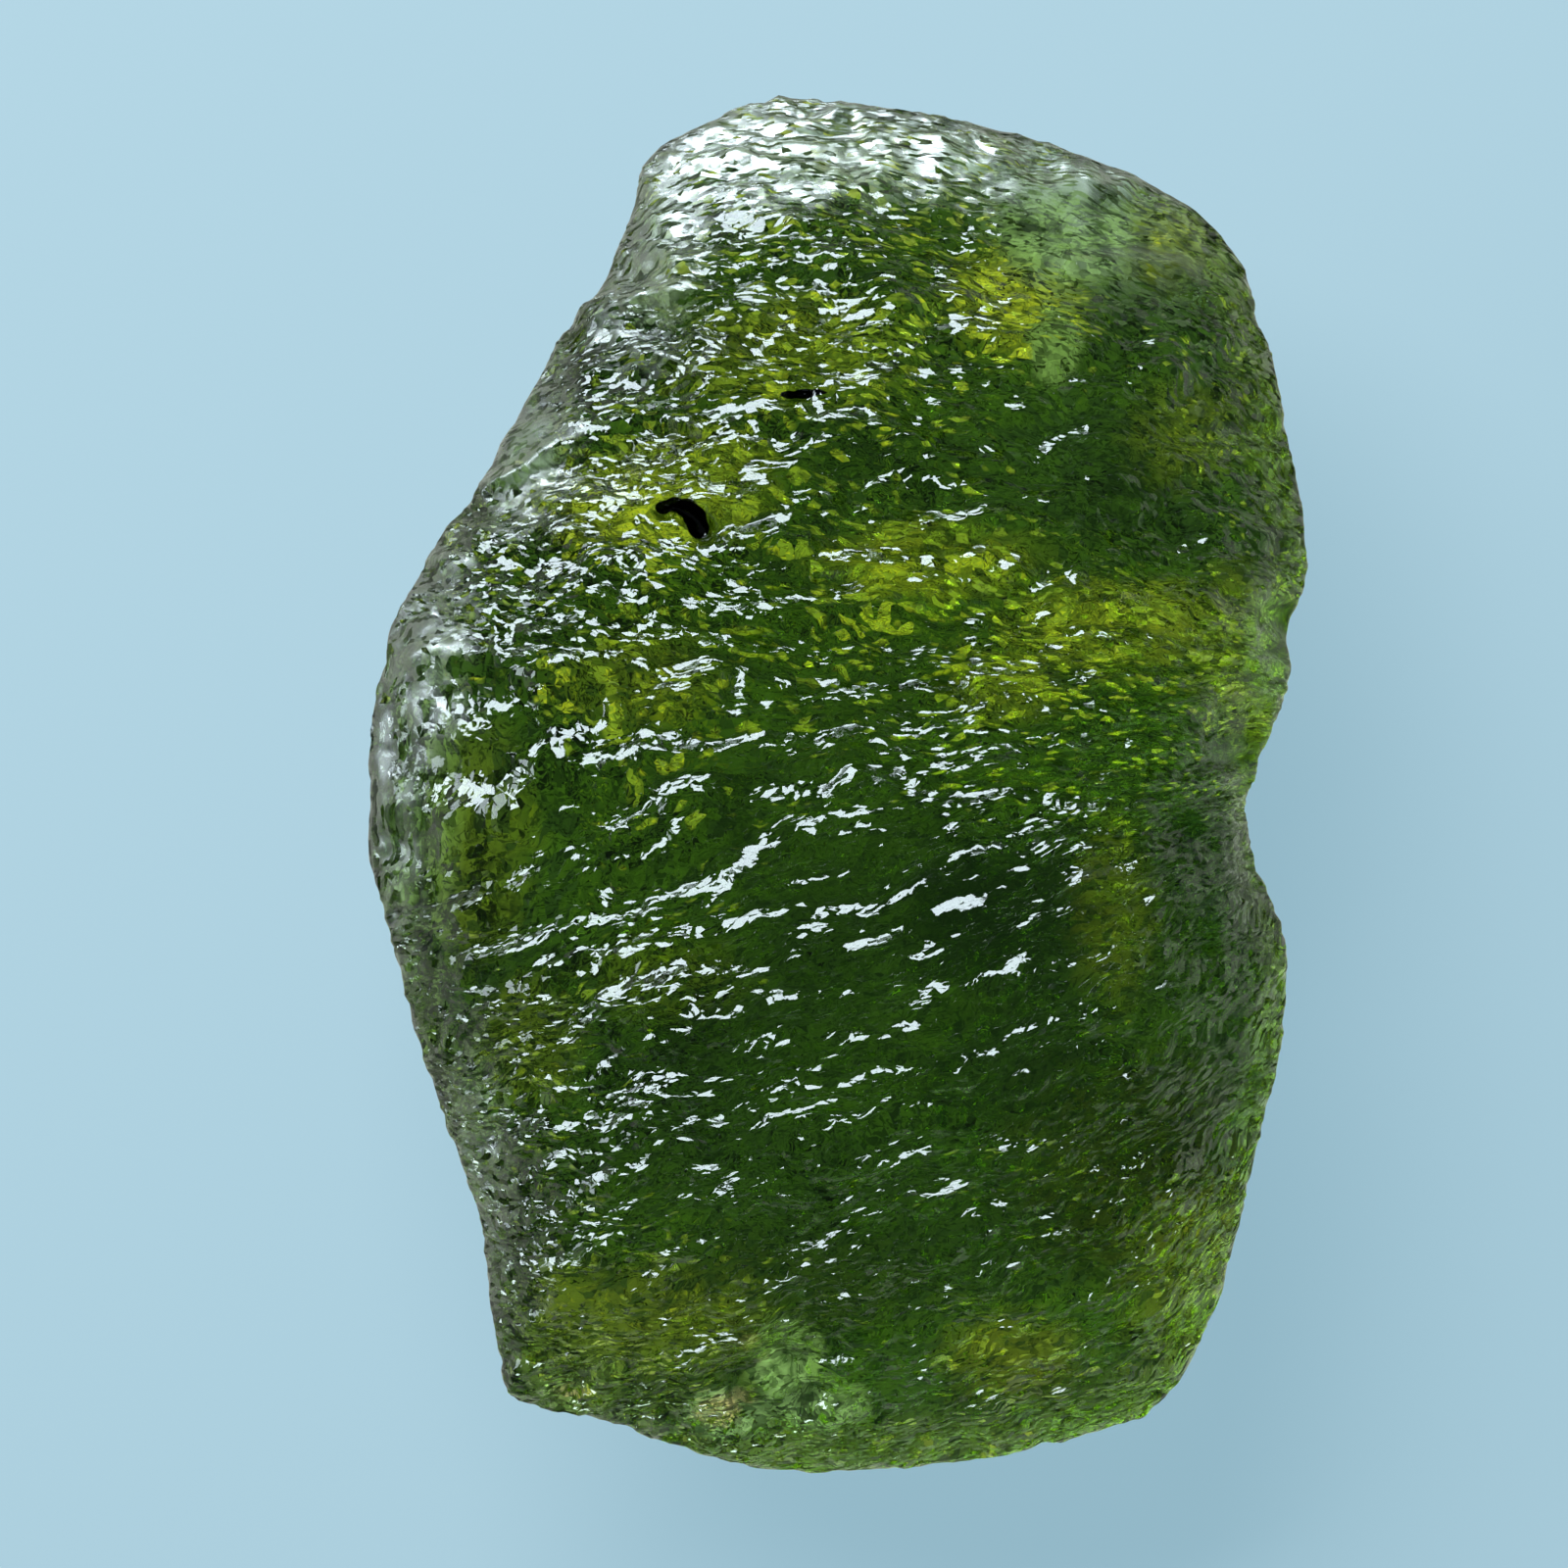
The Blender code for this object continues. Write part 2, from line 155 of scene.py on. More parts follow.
class Tree:
    """A node tree under construction, with one method that makes any node."""

    def __init__(self, node_tree):
        self.node_tree = node_tree

    def node(self, kind, settings=None, values=None, output=0):
        """Add a node: first its settings, then its sockets' values or links. Return one output."""
        made = self.node_tree.nodes.new(kind)
        for name, setting in (settings or {}).items():
            setattr(made, name, setting)
        for name, value in (values or {}).items():
            socket = made.inputs[name]
            if isinstance(value, Wire):
                self.node_tree.links.new(value.socket, socket)
            elif socket.type == "VECTOR" and isinstance(value, (int, float)):
                socket.default_value = (value, value, value)
            else:
                socket.default_value = value
        return Wire(self, made.outputs[output])

    def inputs(self):
        """Return the group's inputs by name."""
        given = self.node("NodeGroupInput").socket.node.outputs
        return {socket.name: Wire(self, socket) for socket in given}

    def attribute(self, name, output="Fac"):
        """Return an attribute of the mesh in a material."""
        return self.node("ShaderNodeAttribute", {"attribute_name": name}, None, output)

    def tint(self, low, high, share):
        """Return a blend of two colours."""
        values = {MIX_SHARE: share, MIX_FIRST: low, MIX_SECOND: high}
        return self.node("ShaderNodeMix", {"data_type": "RGBA"}, values, MIX_RESULT)

    def noise(self, place, grain, octaves, output="Fac"):
        """Return noise from 0 to 1 with lumps of the given size."""
        stretched, dimensions = self.stretched(place, grain)
        values = {"Vector": stretched, "Scale": 1.0, "Detail": octaves}
        return self.node("ShaderNodeTexNoise", {"noise_dimensions": dimensions}, values, output)

    def cloud(self, place, cloud, output="Fac"):
        """Return a cloud's height at each place, around 0."""
        return (self.noise(place, cloud.grain, cloud.octaves, output) - 0.5) * cloud.swing

    def wobble(self, place, cloud):
        """Return the grey of a coloured cloud, around 0, which bends the places of a pattern."""
        return self.cloud(place, cloud, "Color")

    def patches(self, place, patches):
        """Return 1 inside some patches and 0 outside them."""
        return self.noise(place, patches.grain, patches.octaves).fade(patches.start, patches.full)

    def cells(self, place, grain):
        """Return the distance to the nearest of scattered points, in cells of the given size."""
        stretched, dimensions = self.stretched(place, grain)
        values = {"Vector": stretched, "Scale": 1.0}
        return self.node("ShaderNodeTexVoronoi", {"voronoi_dimensions": dimensions}, values, "Distance")

    def stretched(self, place, grain):
        """Return the place measured in grains, and the grain's dimensions as nodes name them: 2D or 3D."""
        sizes = (*grain, 1.0)[:3]
        return place * tuple(1.0 / size for size in sizes), f"{len(grain)}D"

    def axes(self, place):
        """Return the x, y and z of a place."""
        first = self.node("ShaderNodeSeparateXYZ", None, {0: place})
        outputs = first.socket.node.outputs
        return tuple(Wire(self, outputs[index]) for index in range(3))

    def joined(self, x, y, z=0.0):
        """Return a vector from three numbers or wires."""
        return self.node("ShaderNodeCombineXYZ", None, {0: x, 1: y, 2: z})

    def distance(self, place, middle, reach):
        """Return how far a place is from the middle of an ellipsoid: 1 at its edge."""
        return ((place - middle) * tuple(1.0 / size for size in reach)).length()

    def spot(self, place, middle, reach, edge, ragged):
        """Return 1 inside an ellipsoid and 0 outside it, with a soft edge that ragged moves."""
        distance = self.distance(place, middle, reach) + ragged
        return distance.fade(1.0 + edge * 0.5, 1.0 - edge * 0.5)


# Places on the stone, in millimetres from the middle of its outline, seen from above

# Smooth places, where a flake came away or the skin was worn: middle and reach
SMOOTH_PLACES = (
    ((11.2, 26.6, 12.0), (4.0, 3.1, 6.0)),
    ((15.4, 25.8, 12.0), (2.6, 2.6, 6.0)),
    ((-15.4, 17.2, 11.0), (1.9, 2.9, 6.0)),
    ((-3.4, -29.4, 11.0), (2.6, 2.0, 6.0)),
    ((21.6, 7.6, 9.5), (1.3, 2.1, 4.0)),
    ((19.6, 1.6, 10.5), (1.6, 1.9, 4.0)),
    ((10.2, 21.6, 12.0), (1.3, 1.7, 4.0)),
)

# Two deep pits: the beads of a comma and then of a short slot, each a middle and a reach
DEEP_PITS = (
    ((-8.40, 13.25), (0.38, 0.30)),
    ((-7.85, 13.40), (0.46, 0.34)),
    ((-7.28, 13.22), (0.54, 0.44)),
    ((-6.88, 12.78), (0.58, 0.54)),
    ((-6.70, 12.28), (0.52, 0.54)),
    ((-2.30, 18.62), (0.50, 0.20)),
    ((-1.60, 18.66), (0.62, 0.24)),
    ((-0.95, 18.74), (0.44, 0.16)),
)

# The pits end at this level: below it their distance grows by so much a millimetre
PIT_LOWEST = 9.0
PIT_FLOOR = 10.0

# The distance at all places well away from the pits
PIT_MOST = 9.0

# How the flat patterns roll round the rim: the level of the face and a middling radius of the stone
FACE_LEVEL = 13.0
ROLL_RADIUS = 25.0

# Zones of colour on the face: middle, reach and strength
# The yellow zones are yellower glass, brightened by a painted glow as of light shining through it
YELLOW_ZONES = (
    ((-9.0, 13.4), (4.6, 2.0), 0.95),
    ((-6.6, 15.2), (3.4, 1.8), 0.70),
    ((-1.8, 20.6), (5.0, 2.4), 0.35),
    ((8.6, 23.2), (3.0, 2.2), 1.00),
    ((15.8, 26.4), (2.6, 1.9), 0.80),
    ((4.2, 10.6), (4.6, 1.6), 0.85),
    ((13.4, 7.6), (4.6, 1.9), 0.85),
    ((7.8, 4.6), (2.4, 1.6), 0.60),
    ((19.6, 6.6), (2.6, 3.4), 0.60),
    ((20.4, 3.4), (1.6, 1.4), 0.75),
    ((16.8, 17.0), (2.6, 2.4), 0.35),
    ((13.2, -6.2), (1.7, 4.0), 0.40),
    ((-17.6, -3.0), (2.6, 5.0), 0.40),
    ((-15.0, -12.4), (2.4, 2.8), 0.40),
    ((-9.6, 5.0), (3.4, 2.2), 0.30),
    ((-8.4, -9.2), (3.4, 1.8), 0.25),
    ((-10.0, -26.0), (5.6, 2.6), 0.45),
    ((8.4, -27.6), (3.0, 2.2), 0.45),
    ((17.6, -24.0), (3.4, 4.4), 0.40),
)
DARK_ZONES = (
    ((8.2, -6.6), (5.2, 4.2), 1.00),
    ((8.4, -12.6), (4.0, 3.6), 0.75),
    ((0.8, -9.0), (4.4, 6.5), 0.40),
    ((13.4, 14.6), (4.6, 3.4), 0.40),
    ((-7.4, 21.8), (3.4, 1.4), 0.45),
    ((-1.4, 16.4), (3.0, 1.4), 0.40),
    ((-13.4, 12.0), (2.6, 1.0), 0.50),
    ((16.6, -2.2), (0.9, 1.3), 0.95),
    ((18.6, -2.4), (0.6, 0.5), 0.95),
    ((18.9, 1.3), (1.0, 1.3), 0.55),
    ((16.4, -15.4), (5.0, 4.4), 0.60),
    ((4.0, -21.6), (8.0, 3.0), 0.45),
    ((-2.0, -14.0), (9.0, 6.0), 0.40),
    ((17.0, -8.0), (4.0, 7.0), 0.45),
    ((-15.8, -30.0), (1.6, 1.6), 0.60),
)
MILKY_ZONES = (
    ((11.2, 26.6), (3.4, 2.4), 0.80),
    ((10.4, 21.2), (1.2, 2.0), 0.60),
    ((-2.4, -28.2), (1.6, 2.4), 1.00),
    ((-1.2, -30.2), (2.6, 1.4), 0.70),
    ((-5.4, -30.8), (2.0, 1.3), 0.95),
    ((-16.0, 17.2), (1.7, 3.0), 0.70),
    ((21.2, 6.8), (1.4, 2.4), 0.75),
    ((21.0, -3.6), (0.8, 1.7), 0.60),
    ((-20.6, -2.0), (2.2, 8.0), 0.40),
)
BROWN_ZONES = (
    ((15.0, -18.6), (6.0, 5.4), 0.80),
    ((8.8, -28.0), (2.4, 1.6), 0.60),
    ((-3.2, -24.6), (8.0, 2.6), 0.35),
    ((-15.4, -20.6), (2.4, 3.6), 0.45),
)
SOIL_SPOTS = (
    ((-5.9, -30.7), (1.1, 0.8), 0.9),
    ((-4.7, -30.0), (0.7, 0.4), 0.8),
    ((-4.2, -27.0), (0.5, 0.3), 0.6),
    ((-12.9, -29.9), (0.8, 0.4), 0.6),
)

# Quiet zones, where the glass is plain and holds few glints
QUIET_ZONES = (
    ((3.0, -9.0), (13.0, 9.0), 0.75),
    ((11.8, 16.6), (5.6, 4.6), 0.70),
    ((-4.0, -17.0), (12.0, 5.0), 0.50),
    ((14.6, 26.4), (5.4, 4.0), 0.90),
    ((18.0, 12.0), (4.6, 9.0), 0.50),
    ((16.0, -11.0), (5.0, 9.0), 0.60),
    ((-16.6, -5.0), (4.6, 9.0), 0.80),
    ((-12.0, -25.0), (7.0, 4.0), 0.50),
    ((6.0, -26.0), (13.0, 5.0), 0.50),
)

# Lively zones in the quieter lower half, where the etching bites deeper and glints gather
LIVELY_ZONES = (
    ((2.6, 1.2), (3.2, 1.7), 1.0),
    ((9.6, -1.9), (3.6, 1.8), 1.0),
    ((12.8, 3.1), (1.9, 1.6), 1.0),
    ((-9.2, -8.0), (4.0, 1.7), 1.0),
    ((16.7, -8.8), (2.4, 1.8), 1.0),
    ((20.2, -7.4), (1.4, 1.2), 0.8),
    ((3.4, -6.8), (2.4, 0.9), 0.8),
    ((0.2, -9.5), (1.6, 0.8), 0.8),
    ((-6.1, -10.4), (1.9, 1.0), 0.9),
    ((-7.5, -16.0), (3.4, 2.4), 0.8),
    ((-2.0, -15.2), (2.6, 1.2), 0.8),
    ((-0.8, -19.8), (3.0, 1.2), 0.7),
    ((-14.6, -20.6), (2.6, 2.6), 0.9),
    ((-4.6, 4.6), (1.8, 1.0), 1.0),
    ((-2.4, 7.4), (1.6, 1.2), 1.0),
    ((-15.8, 3.1), (1.8, 1.8), 0.4),
)

# Zones of the upper rims where the skin is frosted and shines softly, with a painted sheen in its colour as
# of sky reflected on its facets
FROSTED_AND_SHEEN_ZONES = (
    ((-1.0, 32.8), (12.0, 3.6), 1.00),
    ((9.0, 31.0), (10.0, 2.6), 0.80),
    ((-9.8, 27.0), (2.6, 5.0), 0.80),
    ((-15.6, 17.6), (2.2, 4.0), 1.00),
    ((-20.6, 8.0), (2.2, 6.0), 0.70),
    ((-22.6, -3.0), (1.8, 9.0), 0.60),
    ((-17.6, -20.0), (1.6, 6.0), 0.50),
    ((13.8, 26.2), (4.4, 2.8), 0.15),
)


# Patterns over the stone, with sizes in millimetres

# The flow's rows slant one way at the foot and the other at the crown, turn between two levels, and wander
FOOT_SLANT = -0.30
CROWN_SLANT = 0.13
SLANT_TURNS = (-6.0, 8.0)
WANDER = Cloud((5.0, 3.0, 9.0), 3.4)

# What makes the edges of the zones and of the smooth places ragged
ZONE_EDGES = Cloud((2.2, 1.0, 2.2), 1.3, 3.0)
SMOOTH_EDGES = Cloud((1.6, 1.6, 1.6), 0.9)

# The fine flow ledges: the ripple along them and the stretches where they are unbroken
RIPPLE = Cloud((1.1, 0.9, 2.0), 1.1)
UNBROKEN = Patches((1.0, 0.7, 1.4), 0.42, 0.60, 1.0)

# The etched cups: their sizes, how steep their walls are (1 is a cone and 2 a bowl), and their middling level
LARGE_CUPS = (2.2, 1.5, 2.2)
SMALL_CUPS = (0.88, 0.62, 0.88)
CUP_STEEPNESS = 1.4
CUP_LEVEL = 0.35
LARGE_SHARE = 0.75
CUP_WOBBLE = Cloud((1.6, 1.2, 1.6), 1.1)
CUP_PATCHES = Patches((4.2, 1.5, 4.0), 0.38, 0.60)

# The long furrows of the back: their size, their middling level and how they bend
FURROWS = (0.95, 4.2, 1.4)
FURROW_LEVEL = 0.4
FURROW_WOBBLE = Cloud((1.8, 1.8, 1.8), 0.9)

# The flat facets of the skin, which only the shading shows: their size and how their rows bend
FACETS = (0.56, 0.22)
FACET_WOBBLE = Cloud((0.9, 0.7, 0.9), 0.7)
FACET_PATCHES = Patches((3.4, 1.3, 3.4), 0.34, 0.58)

# Streaks in the glass, clusters of facets with a painted glow, and broad dark clouds
STRIAE = Patches((0.32, 2.6, 2.0), 0.56, 0.70, 1.0)
CLUSTERS = Cloud((2.6, 0.8, 2.6), 1.6)
DARK_CLOUDS = Patches((7.0, 4.5, 6.0), 0.60, 0.40, 3.0)

# The share of a flow ledge's spacing that climbs slowly; the rest is its short step
TREAD_SHARE = 0.7

# How much of the etching's depth is lost in quiet zones and on smooth places, and left in lively zones
QUIET_LOSS = 0.55
SMOOTH_LOSS = 0.75
LIVELY_DEPTH = 0.65

# How far a side must face up or down before its own relief is full, and where the relief starts above
# the flat spot
FACE_RANGE = (-0.10, 0.45)
BACK_RANGE = (0.10, -0.45)
RELIEF_RANGE = (0.05, 0.9)

# The levels between which the low, paler part of the stone fades out, and the thin rim's tint too
LOW_RANGE = (9.5, 6.0)
RIM_RANGE = (11.5, 8.0)

# Steps over the mesh that an average takes in: for the lean of the skin, which sets the painted glow, and for
# its height, which sets the painted shade
LEAN_STEPS = 14
HEIGHT_STEPS = 10


def zone(tree, place, spots, ragged, edge=0.9):
    """Return the strongest of some soft round zones at each place, with ragged edges."""
    x, y, _ = tree.axes(place)
    flat = tree.joined(x, y)
    return reduce(Wire.most, (
        tree.spot(flat, (*middle, 0.0), (*reach, 1.0), edge, ragged) * strength
        for middle, reach, strength in spots
    ))


def edge_noise(tree, rows):
    """Return the noise that makes the edges of zones ragged along the flow."""
    return tree.cloud(rows, ZONE_EDGES)


def liveliness(tree, place, ragged, quiet):
    """Return how deeply the etching bites: 1 in most places and less in quiet ones."""
    smooth = 1.0 - calm(tree, place) * SMOOTH_LOSS
    lively = zone(tree, place, LIVELY_ZONES, ragged) * LIVELY_DEPTH
    return (1.0 - quiet * QUIET_LOSS).most(lively) * smooth


def calm(tree, place):
    """Return 1 on the smooth places and 0 elsewhere."""
    ragged = tree.cloud(place, SMOOTH_EDGES)
    spots = (tree.spot(place, middle, reach, 0.4, ragged) for middle, reach in SMOOTH_PLACES)
    return reduce(Wire.most, spots)


def flow(tree, place):
    """Return places laid along the flow: y becomes the distance across the flow's rows."""
    x, y, z = tree.axes(place)
    slant = y.fade(*SLANT_TURNS) * (CROWN_SLANT - FOOT_SLANT) + FOOT_SLANT
    return tree.joined(x, y + slant * x + tree.cloud(place, WANDER), z)


def unrolled(tree, rows):
    """Return flat places along the skin, which run on evenly over the rim and round to the back."""
    x, y, z = tree.axes(rows)
    outwards = 1.0 + (FACE_LEVEL - z) * (1.0 / ROLL_RADIUS)
    return tree.joined(x * outwards, y * outwards)


def cups(tree, place, grain):
    """Return the height of etched cups: 0 in the middle of each and a crest where they meet."""
    return tree.cells(place, grain) ** CUP_STEEPNESS


def deep_pits(tree, place):
    """Return how far a place is from the middle of the nearest bead of a deep pit: 1 at its edge."""
    x, y, z = tree.axes(place)
    flat = tree.joined(x, y)
    below = (PIT_LOWEST - z).most(0.0) * PIT_FLOOR
    beads = (tree.distance(flat, (*middle, 0.0), (*reach, 1.0)) for middle, reach in DEEP_PITS)
    return reduce(Wire.least, beads).least(PIT_MOST) + below


class SkinSettings(bpy.types.PropertyGroup):
    """Sizes of the stone's etched skin."""

    ledge_spacing: FloatProperty(
        name="Ledge spacing", description="Distance between the fine flow ledges, in mm",
        default=1.25, min=0.3, max=5.0,
    )
    ledge_height: FloatProperty(
        name="Ledge height", description="Height of the fine flow ledges, in mm",
        default=0.11, min=0.0, max=1.0,
    )
    cup_depth: FloatProperty(
        name="Cup depth", description="Depth of the etched cups, in mm",
        default=0.22, min=0.0, max=1.0,
    )
    furrow_depth: FloatProperty(
        name="Furrow depth", description="Depth of the long furrows of the back, in mm",
        default=0.30, min=0.0, max=1.0,
    )
    fineness: IntProperty(
        name="Fineness", description="How often the packed solid is divided before it is etched",
        default=3, min=1, max=3,
    )
    triangles: IntProperty(
        name="Triangles", description="Triangles that the finished skin is thinned to",
        default=196000, min=20000, max=199000,
    )


class GlassSettings(bpy.types.PropertyGroup):
    """Colours, depth and polish of the green glass."""

    green: FloatVectorProperty(
        name="Green", description="Tint of the clear green glass",
        subtype="COLOR", size=3, default=(0.027, 0.085, 0.004),
    )
    pale: FloatVectorProperty(
        name="Pale", description="Tint of the paler back, through which the light comes in",
        subtype="COLOR", size=3, default=(0.25, 0.45, 0.12),
    )
    rim: FloatVectorProperty(
        name="Rim", description="Tint of the thin glass round the rim",
        subtype="COLOR", size=3, default=(0.75, 0.95, 0.30),
    )
    # Also the painted glow of the bright facets
    yellow: FloatVectorProperty(
        name="Yellow", description="Tint of the brighter yellow zones",
        subtype="COLOR", size=3, default=(0.95, 1.0, 0.08),
    )
    # Also the painted shade of dark facets and of what lies lower than the skin
    dark: FloatVectorProperty(
        name="Dark", description="Tint of the darkest zones",
        subtype="COLOR", size=3, default=(0.008, 0.026, 0.007),
    )
    milky: FloatVectorProperty(
        name="Milky", description="Tint of the pale, milky places",
        subtype="COLOR", size=3, default=(0.55, 0.85, 0.42),
    )
    brown: FloatVectorProperty(
        name="Brown", description="Tint of the brown-olive zones",
        subtype="COLOR", size=3, default=(0.026, 0.040, 0.0015),
    )
    soil: FloatVectorProperty(
        name="Soil", description="Colour of the cream soil that is left in the hollows",
        subtype="COLOR", size=3, default=(0.90, 0.72, 0.42),
    )
    # Painted sheen: the crust's pale tint stands in for light reflected on its frosted facets
    crust_and_painted_sheen: FloatVectorProperty(
        name="Crust", description="Tint of the frosted crust on the upper rims",
        subtype="COLOR", size=3, default=(0.70, 0.90, 0.95),
    )
    absorbed: FloatVectorProperty(
        name="Depth colour", description="Colour that the glass lets through with depth",
        subtype="COLOR", size=3, default=(0.78, 0.87, 0.18),
    )
    density: FloatProperty(
        name="Depth density", description="How strongly the glass absorbs, per metre",
        default=100.0, min=0.0, max=2000.0,
    )
    ior: FloatProperty(name="IOR", description="Index of refraction", default=1.49, min=1.0, max=2.0)
    polish: FloatProperty(
        name="Roughness", description="Roughness of the clear, unfrosted glass",
        default=0.05, min=0.0, max=1.0,
    )
    crust_roughness: FloatProperty(
        name="Crust roughness", description="Roughness of the frosted crust's shine",
        default=0.32, min=0.0, max=1.0,
    )
    crust_ior: FloatProperty(
        name="Crust IOR", description="Index of refraction of the crust, which sets how much it shines",
        default=2.0, min=1.0, max=4.0,
    )


# The colours that the mesh stores; the crust's painted sheen is mixed in by the material
TINTS = ("green", "pale", "rim", "yellow", "dark", "milky", "brown", "soil")


# The skin


def stone_copy(name):
    """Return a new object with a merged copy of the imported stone's mesh."""
    form = bmesh.new()
    form.from_mesh(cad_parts[NODE].data)
    bmesh.ops.remove_doubles(form, verts=form.verts, dist=CORNER_GAP)
    mesh = bpy.data.meshes.new(name)
    form.to_mesh(mesh)
    form.free()
    mesh.materials.clear()
    if "custom_normal" in mesh.attributes:
        mesh.attributes.remove(mesh.attributes["custom_normal"])
    stone = bpy.data.objects.new(name, mesh)
    bpy.context.scene.collection.objects.link(stone)
    return stone


def new_geometry_tree(name, inputs):
    """Return an empty Geometry Nodes tree with the named inputs, each with its kind of socket."""
    tree = bpy.data.node_groups.new(name, "GeometryNodeTree")
    face = tree.interface
    face.new_socket("Geometry", in_out="INPUT", socket_type="NodeSocketGeometry")
    for title, kind in inputs.items():
        face.new_socket(title, in_out="INPUT", socket_type="NodeSocket" + kind)
    face.new_socket("Geometry", in_out="OUTPUT", socket_type="NodeSocketGeometry")
    return tree


def end_tree(tree, geometry, glass):
    """Close a Geometry Nodes tree: plain geometry in the given glass."""
    real = tree.node("GeometryNodeRealizeInstances", None, {"Geometry": geometry})
    coated = tree.node("GeometryNodeSetMaterial", None, {"Geometry": real, "Material": glass})
    end = tree.node_tree.nodes.new("NodeGroupOutput")
    tree.node_tree.links.new(coated.socket, end.inputs["Geometry"])


def run_tree(stone, group, values):
    """Run a Geometry Nodes tree on the stone with the given inputs and keep its result."""
    modifier = stone.modifiers.new(group.name, "NODES")
    modifier.node_group = group
    for item in group.interface.items_tree:
        if item.in_out == "INPUT" and item.name in values:
            modifier[item.identifier] = values[item.name]
    keep_result(stone)


def fine_ledges(tree, place, rows, spacing):
    """Return the fine flow ledges, from -0.5 to 0.5, broken into short lengths."""
    phase = ((tree.axes(rows)[1] + tree.cloud(place, RIPPLE)) / spacing).fraction()
    tread = phase * (1.0 / TREAD_SHARE)
    step = (1.0 - phase) * (1.0 / (1.0 - TREAD_SHARE))
    return (tread.least(step) - 0.5) * tree.patches(place, UNBROKEN)


def etched_cups(tree, place, rows):
    """Return the etched cups, large ones with smaller ones in them, about 1 high where they bite most."""
    bent = rows + tree.wobble(place, CUP_WOBBLE)
    large = cups(tree, bent, LARGE_CUPS) - CUP_LEVEL
    small = cups(tree, bent, SMALL_CUPS) - CUP_LEVEL
    return (large * LARGE_SHARE + small) * (tree.patches(rows, CUP_PATCHES) * 0.65 + 0.35)


def long_furrows(tree, place):
    """Return the furrows of the back, which run from crown to foot: low in the middle and high between."""
    return cups(tree, place + tree.wobble(place, FURROW_WOBBLE), FURROWS) - FURROW_LEVEL


def skin_tree():
    """Return the Geometry Nodes tree that etches ledges, cups and furrows into the stone."""
    group = new_geometry_tree("etched_skin", {
        "Ledge spacing": "Float", "Ledge height": "Float", "Cup depth": "Float", "Furrow depth": "Float",
        "Fineness": "Int", "Glass": "Material",
    })
    tree = Tree(group)
    value = tree.inputs()

    fine = tree.node(
        "GeometryNodeSubdivisionSurface", None, {"Mesh": value["Geometry"], "Level": value["Fineness"]}
    )
    place = tree.node("GeometryNodeInputPosition") * (1.0 / MM)
    normal = tree.node("GeometryNodeInputNormal")
    z = tree.axes(place)[2]
    upward = tree.axes(normal)[2]
    face = upward.fade(*FACE_RANGE)
    back = upward.fade(*BACK_RANGE)
    rows = flow(tree, place)

    ragged = edge_noise(tree, rows)
    rough = liveliness(tree, place, ragged, zone(tree, place, QUIET_ZONES, ragged, edge=1.2))
    ledges = fine_ledges(tree, place, rows, value["Ledge spacing"]) * value["Ledge height"] * face
    etched = etched_cups(tree, place, rows) * value["Cup depth"]
    furrows = long_furrows(tree, place) * value["Furrow depth"] * back
    height = ((ledges + etched) * rough + furrows) * z.fade(*RELIEF_RANGE)
    moved = tree.node("GeometryNodeSetPosition", None, {"Geometry": fine, "Offset": normal * (height * MM)})

    # Nothing sinks below the plane that the stone rests on
    moved_x, moved_y, moved_z = tree.axes(tree.node("GeometryNodeInputPosition"))
    level = tree.joined(moved_x, moved_y, moved_z.most(0.0))
    settled = tree.node("GeometryNodeSetPosition", None, {"Geometry": moved, "Position": level})
    end_tree(tree, settled, value["Glass"])
    return group


def above_average(tree, amount, steps):
    """Return how far an amount on the mesh stands above its average over the near vertices."""
    settings = {"data_type": "FLOAT"}
    average = tree.node("GeometryNodeBlurAttribute", settings, {"Value": amount, "Iterations": steps})
    return amount - average


